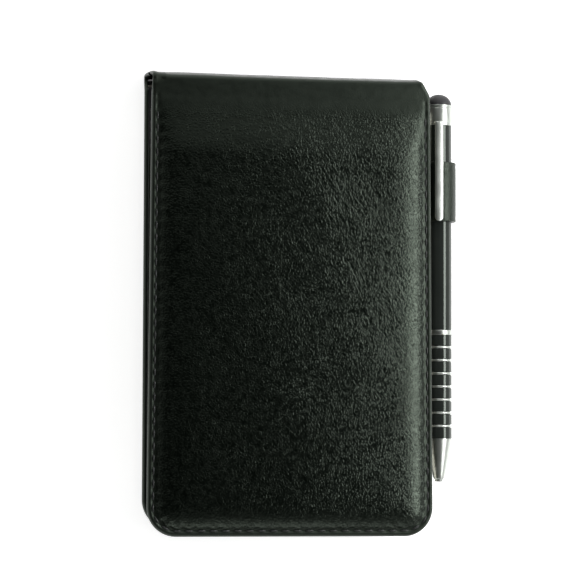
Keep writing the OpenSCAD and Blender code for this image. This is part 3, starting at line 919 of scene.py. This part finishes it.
def slot_panel(material):
    """The panel that the pad's card slides behind."""
    high = box_mm("pad_pocket")[1]
    return flat_panel("pad_slot_panel", "pad_pocket", lambda x: np.full(len(x), high.y),
                      (high.z - 0.4, high.z), material)


def mouth_stitches(name, half, head, z, material):
    """A row of stitches that follows a pocket's mouth on its inner face."""
    step, length = 2.6, 1.9
    x = np.linspace(-half + 2, half - 2, 900)
    y = head(x) - 1.6
    run = np.concatenate([[0], np.cumsum(np.hypot(np.diff(x), np.diff(y)))])
    lines = []
    for k in range(int(run[-1] / step)):
        t = np.linspace(0, 1, THREAD_RINGS)
        along = k * step + 0.3 + length * t
        sx, sy = np.interp(along, run, x), np.interp(along, run, y)
        arch = 0.10 - 0.34 * np.abs(2 * t - 1) ** 4
        points = np.column_stack([sx, sy, z - arch])
        lines.append((points, np.tile((0.0, 0.0, -1.0), (THREAD_RINGS, 1))))
    return add_stitches(name, lines, material)


def build_foam(skin, material):
    """The foam lens between the front's leather and its board."""
    inset, low_z = 2.9, RIM_Z - 0.75
    s = join_runs(spread(inset, 14, 1.0), spread(14, skin.bend_s - 16, 3.0),
                  spread(skin.bend_s - 16, skin.bend_s - 5.6, 1.0))
    c = np.linspace(-1, 1, 47)
    rows, columns = len(s), len(c)
    half = HALF_W - inset - 0.3 + corner_fall(CORNER_R - inset, CORNER_R - s)
    x, s = (grid.ravel() for grid in across_panel(c, half, half, s))
    top = skin.points(x, s, -LEATHER_T - 0.08)
    top[:, 2] = np.maximum(top[:, 2], low_z + 0.12)
    bottom = top.copy()
    bottom[:, 2] = low_z
    faces = grid_faces(rows, columns) + [tuple(i + rows * columns for i in f)
                                         for f in grid_faces(rows, columns, True)]
    edge = list(range(columns)) + [j * columns + columns - 1 for j in range(1, rows)]
    edge += [(rows - 1) * columns + i for i in range(columns - 2, -1, -1)]
    edge += [j * columns for j in range(rows - 2, 0, -1)]
    for a, b in zip(edge, edge[1:] + edge[:1]):
        faces.append((a, a + rows * columns, b + rows * columns, b))
    return add_piece("foam_lens", np.vstack([top, bottom]), faces, material)


# ---------- pad ----------

RULE_PITCH = 6.0
RULE_TOP = 36.0
PERFORATION_Y = 44.6
SHEET_T = 0.095
LEAF_T = 0.09
LEAF_ROOT_Y = 53.7
CURL_FROM_Y, CURL_RUN = 40, 94
TAPE_T = 0.2


def slab(points, faces, low, high):
    """Adds a plain six-sided sheet to lists of points and faces."""
    first = len(points)
    points += [(x, y, z) for z in (low[2], high[2]) for x, y in
               ((low[0], low[1]), (high[0], low[1]), (high[0], high[1]), (low[0], high[1]))]
    faces += [tuple(first + i for i in f) for f in
              ((3, 2, 1, 0), (4, 5, 6, 7), (0, 1, 5, 4), (1, 2, 6, 5), (2, 3, 7, 6), (3, 0, 4, 7))]


def page_stack(material):
    """The bound pages, cut a little unevenly, with fine gaps between them."""
    rng = random.Random(11)
    count = int((PAGES_HI.z - PAGES_LO.z) / (SHEET_T + 0.008))
    pitch = (PAGES_HI.z - PAGES_LO.z) / count
    points, faces = [], []
    drift_x = drift_y = 0.0
    for k in range(count):
        drift_x = 0.85 * drift_x + rng.uniform(-0.035, 0.035)
        drift_y = 0.85 * drift_y + rng.uniform(-0.05, 0.05)
        z = PAGES_LO.z + k * pitch
        low = (PAGES_LO.x + 0.12 + drift_x, PAGES_LO.y + 0.12 + drift_y, z)
        high = (PAGES_HI.x - 0.12 + drift_x, PAGES_HI.y - 0.05, z + SHEET_T)
        slab(points, faces, low, high)
    return add_piece("page_stack", points, faces, material, sharp=20)


def pad_card(material):
    """The backing card that slides into the cover's slot."""
    low, high = box_mm("pad_backing_card")
    points, faces = [], []
    slab(points, faces, low + Vector((0, 0, 0.01)), high - Vector((0, 0.1, 0.01)))
    return bevel(add_piece("backing_card", points, faces, material), 0.12)


def turning_leaf(number, material):
    """A loose leaf with a slight curl, bound under the tape."""
    low, high = box_mm(f"leaf_{number}")
    y = join_runs(spread(low.y + 0.1, 30, 2.0), spread(30, 48, 0.5), [LEAF_ROOT_Y])
    x = np.linspace(low.x + 0.15, high.x - 0.15, 25)
    grid_x, grid_y = np.meshgrid(x, y)
    free = np.clip((CURL_FROM_Y - grid_y) / CURL_RUN, 0, 1)
    side = (grid_x / high.x + 0.2 * number) / 1.6
    curl = (0.12 + 0.06 * number) * free ** 2 + 0.05 * free * side ** 2
    wave = np.vectorize(lambda a, b: noise.noise(Vector((a * 0.03, b * 0.03, number * 2.3))))
    z = (low.z + high.z) / 2 + curl + 0.05 * free * wave(grid_x, grid_y)
    points = np.column_stack([grid_x.ravel(), grid_y.ravel(), z.ravel()])
    piece = add_piece(f"ruled_leaf_{number}", points, grid_faces(len(y), len(x)), material)
    thicken(piece, LEAF_T)
    bend(piece, "back_cover", f"leaf_{number}", (LEAF_AXIS.y + 0.2, LEAF_AXIS.z),
         (LEAF_AXIS.y - 8.3, LEAF_AXIS.z), "paper", f"leaf_{number}")


def head_tape(material):
    """Binding tape from the top of the pages over their head and down to the card."""
    card_low, _ = box_mm("pad_backing_card")
    top = LEAF_AXIS.z + 0.32
    line = rounded([(TAPE_LO.y, top - 0.22), (TAPE_LO.y + 1.6, top), (TAPE_HI.y + 0.05, top),
                    (TAPE_HI.y + 0.05, card_low.z + 0.25)], [0, 0.6, 0.55, 0], 6, closed=False)
    path = Path(line, 1)
    s = join_runs(spread(0, path.length, 0.35))
    x = np.linspace(TAPE_LO.x, TAPE_HI.x, 61)
    faces = grid_faces(len(s), len(x))
    x, s = (grid.ravel() for grid in np.meshgrid(x, s))
    y, z, ny, nz = path.place(s)
    bumps = np.array([0.05 * noise.noise(Vector((a * 0.25, b * 0.25, 9.0))) for a, b in zip(x, s)])
    points = np.column_stack([x, y + ny * bumps, z + nz * bumps])
    return thicken(add_piece("head_tape", points, faces, material), TAPE_T)


# ---------- pen ----------

LATHE_STEPS = 72
RING_R = 3.75
BARREL_R = 3.62
SEAT_R = 2.92  # the bore of each outer piece that sits on a neck of its neighbour
BORE_R = 2.32
CARRIER_BORE_R = 1.76
RING_COUNT, RING_EDGE = 7, 0.4
RING_HALF_W = 0.27


def lathe(name, outline, material, cut):
    """A turned piece on the pen's axis from corners (y, r) of its half section."""
    ring = rounded([(y, r) for y, r in outline], [cut if r > 0 else 0 for _, r in outline], 3)
    points, faces = [], []
    angles = np.linspace(0, 2 * np.pi, LATHE_STEPS, endpoint=False)
    index = []
    for y, r in ring:
        count = LATHE_STEPS if r > 1e-5 else 1
        index.append([len(points) + k for k in range(count)])
        points += [(PEN_X + r * math.cos(a), y, PEN_Z + r * math.sin(a)) for a in angles[:count]]
    for a, b in zip(index, index[1:] + index[:1]):
        if len(a) == len(b) == 1:
            continue
        for k in range(LATHE_STEPS):
            after = (k + 1) % LATHE_STEPS
            corners = [a[k % len(a)], a[after % len(a)], b[after % len(b)], b[k % len(b)]]
            unique = list(dict.fromkeys(corners))
            if len(unique) > 2:
                faces.append(unique)
    return add_piece(name, points, faces, material, sharp=35)


def tube_outline(y0, y1, outer, inner):
    return [(y0, inner), (y0, outer), (y1, outer), (y1, inner)]


def notch(y, half_w, outer, depth):
    """Corners of a square groove turned into an outside."""
    return [(y - half_w, outer), (y - half_w, outer - depth), (y + half_w, outer - depth),
            (y + half_w, outer)]


def stylus_tip(material):
    low, high = box_mm("stylus_dome")
    base = box_mm("pen_top_ring")[1].y
    radius = (high.x - low.x) / 2 - 0.03
    dome = [(base + (high.y - base) * math.sin(a), radius * math.cos(a))
            for a in np.linspace(0.1, 1.5, 14)]
    outline = [(low.y, 0), (low.y, 2.35), (base - 0.02, 2.35), (base - 0.02, radius - 0.2),
               (base + 0.12, radius)] + dome + [(high.y, 0)]
    return lathe("stylus_tip", outline, material, cut=0.05)


def top_ring(material):
    low, high = box_mm("pen_top_ring")
    groove = high.y - 0.75
    outline = [(low.y, SEAT_R), (low.y, RING_R), *notch(groove, 0.14, RING_R, 0.16), (high.y, RING_R),
               (high.y, 2.45), (high.y - 3.05, 2.45), (high.y - 3.05, SEAT_R)]
    return lathe("cap_ring", outline, material, cut=0.09)


def clip_collar(material):
    """The collar with the lug that the clip grows out of, in one mesh."""
    low, high = box_mm("pen_clip_collar")
    collar = lathe("clip_collar", tube_outline(low.y, high.y, RING_R, SEAT_R), material, cut=0.1)
    points, faces = [], []
    slab(points, faces, (CLIP_LO.x + 0.05, low.y + 0.02, PEN_Z + RING_R - 0.4),
         (CLIP_HI.x - 0.05, high.y - 0.02, high.z - 0.02))
    lug = bevel(add_piece("clip_lug", points, faces, material), 0.18, 3)
    return merge("clip_collar", [collar, lug])


def barrel(material):
    low, high = box_mm("upper_barrel")
    collar_y = box_mm("pen_clip_collar")[0].y
    neck_r, seat_y = 2.86, 30.05
    outline = [(low.y, SEAT_R), (low.y, BARREL_R), (collar_y, BARREL_R), (collar_y, neck_r),
               (high.y, neck_r), (high.y, BORE_R), (seat_y, BORE_R), (seat_y, SEAT_R)]
    return lathe("pen_barrel", outline, material, cut=0.06)


def grip(material):
    """The lower barrel, with a groove for each thin ring and its bored inside."""
    low, high = box_mm("lower_barrel")
    nose_seat_r, carrier_y, nose_seat_y = 2.72, -14.05, -31.95
    outline = [(low.y, nose_seat_r), (low.y, BARREL_R)]
    for y in grip_ring_places():
        outline += notch(y, 0.42, BARREL_R, 0.45)
    outline += [(high.y, BARREL_R), (high.y, BORE_R), (carrier_y, BORE_R), (carrier_y, CARRIER_BORE_R),
                (nose_seat_y, CARRIER_BORE_R), (nose_seat_y, nose_seat_r)]
    return lathe("pen_grip", outline, material, cut=0.06)


def grip_ring_places():
    """Middles of the thin rings, evenly spaced between the first and the last."""
    low, high = box_mm("grip_rings")
    return np.linspace(low.y + RING_EDGE, high.y - RING_EDGE, RING_COUNT)


def thin_rings(material):
    """All the grip's thin rings in one mesh, each rounded on its outside."""
    rings = []
    for k, y in enumerate(grip_ring_places()):
        half = [(y - RING_HALF_W, 3.2), (y - RING_HALF_W, RING_R - 0.1), (y - 0.1, RING_R)]
        other = [(y + 0.1, RING_R), (y + RING_HALF_W, RING_R - 0.1), (y + RING_HALF_W, 3.2)]
        rings.append(lathe(f"ring_{k}", half + other, material, cut=0.05))
    return merge("grip_ring_set", rings)


def nose(material):
    """The cone: slightly full, with a fine step before its mouth."""
    low, high = box_mm("nose_cone")
    base = box_mm("lower_barrel")[0].y
    tip_r, mouth_r, bore_r = 1.17, 0.75, 1.3
    length = base - low.y
    side = [(base - length * t, tip_r + 0.12 + (BARREL_R - tip_r - 0.12) * (1 - t) ** 0.93)
            for t in np.linspace(0, 0.93, 12)]
    outline = [(high.y, bore_r), (high.y, 2.62), (base + 0.02, 2.62), (base - 0.02, BARREL_R - 0.02)]
    outline += side[1:] + [(low.y + 0.75, tip_r + 0.02), (low.y, tip_r - 0.12), (low.y, mouth_r),
                           (low.y + 2.3, mouth_r), (low.y + 2.3, bore_r)]
    return lathe("nose_cap", outline, material, cut=0.05)


def clip_strap(material):
    """The sprung strap: a thin bowed band with a round end that presses on the loop."""
    centre_x = (CLIP_LO.x + CLIP_HI.x) / 2
    half_w = (CLIP_HI.x - CLIP_LO.x) / 2
    root_y = box_mm("pen_clip_collar")[0].y + 0.5
    tip_y = CLIP_LO.y
    y = join_runs(tip_y + half_w * (1 - np.cos(np.linspace(0.12, math.pi / 2, 9))),
                  spread(tip_y + half_w, root_y, 0.8))
    sides = 28
    angles = np.linspace(0, 2 * np.pi, sides, endpoint=False)
    rings = []
    for v in y:
        near_tip = max(0.0, 1 - (v - tip_y) / half_w)
        w = half_w * math.sqrt(max(0.02, 1 - near_tip ** 2))
        t = 0.31 * (1 - 0.55 * near_tip ** 2)
        along = (v - tip_y) / (root_y - tip_y)
        z = (CLIP_LO.z + CLIP_HI.z) / 2 + 0.10 * math.sin(math.pi * along) + 0.05 * near_tip
        cos, sin = np.cos(angles), np.sin(angles)
        px = w * np.sign(cos) * np.abs(cos) ** 0.42
        pz = t * np.sign(sin) * np.abs(sin) ** 0.55 + 0.10 * (1 - (px / half_w) ** 2)
        rings.append(np.column_stack([centre_x + px, np.full(sides, v), z + pz]))
    piece = add_piece("clip_strap", np.vstack(rings), capped(len(y), sides), material, sharp=50)
    return bend(piece, "pen_upper", "pen_clip", (root_y, 0), (root_y - 4, 0), "chrome", "pen_clip")


def split_long(a, b, parts=20, shortest=2):
    """The points from a up to b: only a, or a row of them where the side is long."""
    return [a] if (b - a).length < shortest else [a.lerp(b, k / parts) for k in range(parts)]


def loop_strap(material):
    """The leather strip round the pen; its tail runs into the back cover's edge."""
    radius = (LOOP_HI.x - PEN_X) - 0.5
    thick = 0.88
    tail = [(LOOP_LO.x, PEN_Z - radius), (PEN_X - 3.4, PEN_Z - radius)]
    ring = arc((PEN_X, PEN_Z), radius, -90, 262, 72)
    path = Path(tail + ring, -1)
    s = join_runs(spread(0, 11, 1.2), spread(11, path.length, 0.42))
    x, z, nx, nz = path.place(s)
    y0, y1 = LOOP_LO.y + 0.06, LOOP_HI.y - 0.06
    section = rounded([(y0, -thick / 2), (y1, -thick / 2), (y1, thick / 2), (y0, thick / 2)], 0.3, 5)
    section = [p for a, b in zip(section, section[1:] + section[:1]) for p in split_long(a, b)]
    rings, rest = [], []
    for px, pz, ax, az, along in zip(x, z, nx, nz, s):
        for p in section:
            dent = 0.05 * math.exp(-((min(p[0] - y0, y1 - p[0]) - 1.1) / 0.35) ** 2) if p[1] > 0 else 0
            depth = p[1] - dent
            rings.append((px + ax * depth, p[0], pz + az * depth))
            rest.append((along, p[0], depth))
    return add_piece("loop_strap", rings, capped(len(s), len(section)), material, rest=rest, sharp=60)


# ---------- putting the object together ----------

def show(piece, body, slot, *nodes):
    """The piece rides on a body and stands for CAD nodes, which are hidden. The slot is not used."""
    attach(piece, body)
    if nodes:
        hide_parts(*nodes)


def bend(piece, first, second, start, end, slot, *nodes):
    """Bakes the piece's place into its mesh and hides the CAD nodes it stands for. The two bodies, the
    stretch from start to end, (y, z) each, and the slot are not used.
    """
    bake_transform(piece)
    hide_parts(*nodes)
    return piece


def dress(node, material):
    """A CAD node that keeps its shape gets a detailed material."""
    mesh = frame["nodes"][node].data
    mesh.materials.clear()
    mesh.materials.append(material)


def build_cover():
    skin_leather = leather("cover_leather", masked=True)
    inner_leather = leather("pocket_leather", grain=0.7, creases=0.15, shine=0.40)
    cloth = lining_weave()
    thread = waxed_thread()

    front_piece, front = build_skin("front_leather", True, skin_leather)
    back_piece, back = build_skin("back_leather", False, skin_leather)
    front_lining = build_lining("front_lining_cloth", True, cloth)
    back_lining = build_lining("back_lining_cloth", False, cloth)
    front_bend = ("spine", "front_cover", (FRONT_AXIS.y + 1.3, FRONT_AXIS.z - 2.2),
                  (FRONT_AXIS.y - 0.9, FRONT_AXIS.z))
    back_bend = ("back_cover", "spine", (BACK_AXIS.y + 0.1, BACK_AXIS.z - 1.2),
                 (BACK_AXIS.y + 2.55, BACK_AXIS.z + 1.25))
    bend(front_piece, *front_bend, "leather", "front_skin", "spine_skin")
    bend(front_lining, *front_bend, "lining", "front_lining", "spine_lining")
    bend(back_piece, *back_bend, "leather", "back_skin", "spine_skin")
    bend(back_lining, *back_bend, "lining", "back_lining", "spine_lining")
    for lining, is_front in ((front_lining, True), (back_lining, False)):
        flat = (2 * (HALF_W - LINING_INSET) * MM, lining_path(is_front).length * MM)

    foam = build_foam(front, open_foam())
    show(foam, "front_cover", "foam", "front_padding")
    for skin, side in ((front, "front"), (back, "back")):
        outer = add_stitches(f"{side}_stitches", cover_stitches(skin, False), thread)
        show(outer, f"{side}_cover", "thread", f"{side}_stitching")
        inner = add_stitches(f"{side}_inner_stitches", cover_stitches(skin, True), thread)
        show(inner, f"{side}_cover", "thread")

    for size, mouth_y in (("large", 22.0), ("small", -6.0)):
        node = f"card_pocket_{size}"
        pocket, seam = card_pocket(f"{size}_card_pocket", node, mouth_y, inner_leather, thread)
        show(pocket, "front_cover", "leather", node)
        show(seam, "front_cover", "thread")
    show(slot_panel(inner_leather), "back_cover", "leather", "pad_pocket")
    loop = loop_strap(leather("loop_leather", grain=0.8, creases=0.2, shine=0.4))
    show(loop, "back_cover", "leather", "pen_loop")


def build_pad():
    show(pad_card(pressed_board("card_board", False)), "back_cover", "board", "pad_backing_card")
    show(page_stack(paper("plain_paper", False)), "back_cover", "paper", "page_block")
    ruled = paper("ruled_paper", True)
    for number in (1, 2, 3):
        turning_leaf(number, ruled)
    show(head_tape(binding_tape()), "back_cover", "binding_tape", "pad_binding_tape")


def build_pen():
    plate, black = chrome(), lacquer()
    show(stylus_tip(soft_rubber()), "pen_upper", "rubber", "stylus_dome")
    show(top_ring(plate), "pen_upper", "chrome", "pen_top_ring")
    show(clip_collar(plate), "pen_upper", "chrome", "pen_clip_collar")
    show(barrel(black), "pen_upper", "lacquer", "upper_barrel")
    low, high = box_mm("centre_ring")
    middle = lathe("middle_ring", tube_outline(low.y, high.y, RING_R, SEAT_R), plate, cut=0.14)
    show(middle, "pen_upper", "chrome", "centre_ring")
    clip_strap(plate)
    show(grip(black), "pen_lower", "lacquer", "lower_barrel")
    show(thin_rings(plate), "pen_lower", "chrome", "grip_rings")
    show(nose(plate), "pen_lower", "chrome", "nose_cone")


def dress_hidden_parts():
    brass = turned_metal("turned_brass", (0.42, 0.29, 0.10), (0.60, 0.43, 0.18), 0.22)
    steel = turned_metal("drawn_steel", (0.35, 0.35, 0.36), (0.50, 0.50, 0.52), 0.25)
    board = pressed_board("cover_board", True)
    finishes = {board: ("front_board", "back_board"),
                brass: ("twist_guide_tube", "twist_helix_sleeve", "refill_tip"),
                steel: ("refill_tube", "writing_ball"),
                moulded_plastic(): ("refill_carrier",)}
    for material, nodes in finishes.items():
        for node in nodes:
            dress(node, material)


# ---------- studio ----------

CAMERA_AT = (-150.1, -43.3, 731.2)
CAMERA_AIM = (-0.04, 3.87, 8.0)
CAMERA_UP = (-0.0159, 0.998, 0.0618)
CAMERA_LENS = 169.25
# Room light by direction: the axis, where along it the light starts and stops changing, and how
# bright it is there.
ROOM_LIGHT = (("X", 0.35, 0.95, 0.001, 0.50), ("X", -0.45, -0.95, 0.0, 0.20),
              ("Z", 0.0, 0.45, 0.15, 0.0), ("Y", 0.17, 0.50, 0.0, 0.50),
              ("Y", -0.22, -0.65, 0.0, 0.25))
# Name, bearing, tilt, distance, size and power. The side light is near, so that it falls off.
SOFTBOXES = (("side_light", 6, 48, 205, (58, 250), 0.36),
             ("head_light", 85, 68, 1000, (1000, 300), 1.6),
             ("foot_light", -95, 68, 1000, (1000, 300), 1.6))
FLOOR_GLOW = 0.72


def aim(thing, place, target, up=(0, 1, 0)):
    """Puts a camera or a light at a place, in millimetres, and turns it to its target."""
    forward = (Vector(target) - Vector(place)).normalized()
    right = forward.cross(Vector(up)).normalized()
    above = right.cross(forward)
    turn = Matrix((right, above, -forward)).transposed().to_4x4()
    thing.matrix_world = Matrix.Translation(Vector(place) * MM) @ turn


def add_camera():
    data = bpy.data.cameras.new("camera")
    data.sensor_width = 36
    data.lens = CAMERA_LENS
    data.clip_start, data.clip_end = 0.05, 20
    camera = bpy.data.objects.new("camera", data)
    bpy.context.scene.collection.objects.link(camera)
    aim(camera, CAMERA_AT, CAMERA_AIM, CAMERA_UP)
    bpy.context.scene.camera = camera


def add_softbox(name, bearing, tilt, distance, size, power):
    """A rectangular light. Bearing is round from +X, tilt is down from straight above."""
    data = bpy.data.lights.new(name, "AREA")
    data.shape = "RECTANGLE"
    data.size, data.size_y = size[0] * MM, size[1] * MM
    data.energy = power
    light = bpy.data.objects.new(name, data)
    bpy.context.scene.collection.objects.link(light)
    a, t = math.radians(bearing), math.radians(tilt)
    place = (distance * math.cos(a) * math.sin(t), distance * math.sin(a) * math.sin(t),
             distance * math.cos(t))
    aim(light, place, (0, 0, 0), (0, 1, 0.001))


def add_world():
    """A room that is dark overhead and lighter towards its sides, the left side least."""
    world = bpy.data.worlds.new("studio")
    bpy.context.scene.world = world
    world.use_nodes = True
    tree = world.node_tree
    coords = tree.nodes.new("ShaderNodeTexCoord")
    axes = tree.nodes.new("ShaderNodeSeparateXYZ")
    tree.links.new(coords.outputs["Generated"], axes.inputs[0])
    fades = []
    for axis, low, high, dim, bright in ROOM_LIGHT:
        fade = tree.nodes.new("ShaderNodeMapRange")
        fade.interpolation_type = "SMOOTHSTEP"
        tree.links.new(axes.outputs[axis], fade.inputs["Value"])
        for key, value in zip(("From Min", "From Max", "To Min", "To Max"), (low, high, dim, bright)):
            fade.inputs[key].default_value = value
        fades.append(fade.outputs[0])
    strength = fades[0]
    for fade in fades[1:]:
        both = tree.nodes.new("ShaderNodeMath")
        tree.links.new(strength, both.inputs[0])
        tree.links.new(fade, both.inputs[1])
        strength = both.outputs[0]
    background = tree.nodes["Background"]
    background.inputs["Color"].default_value = (1.0, 1.0, 0.995, 1)
    tree.links.new(strength, background.inputs["Strength"])


def add_floor():
    """A wide pale sweep under the object."""
    half, step = 1400, 12
    line = np.linspace(-half, half, step)
    x, y = np.meshgrid(line, line)
    points = np.column_stack([x.ravel(), y.ravel(), np.full(x.size, -0.05)])
    s = Shader("pale_floor")
    cloud = s.noise(0.004, 3.0)
    material = s.finish(s.colour(cloud, (0.90, 0.905, 0.90), (0.94, 0.945, 0.94)), 0.75,
                        s.times(s.noise(0.8, 3.0), 0.01), Specular_IOR_Level=0.2,
                        Emission_Color=(1, 1, 1, 1), Emission_Strength=FLOOR_GLOW)
    add_piece("floor", points, grid_faces(step, step), material)


def build_studio():
    add_camera()
    add_world()
    add_floor()
    for softbox in SOFTBOXES:
        add_softbox(*softbox)
    bpy.context.scene.view_settings.view_transform = "Standard"


build_studio()
build_cover()
build_pad()
build_pen()
dress_hidden_parts()
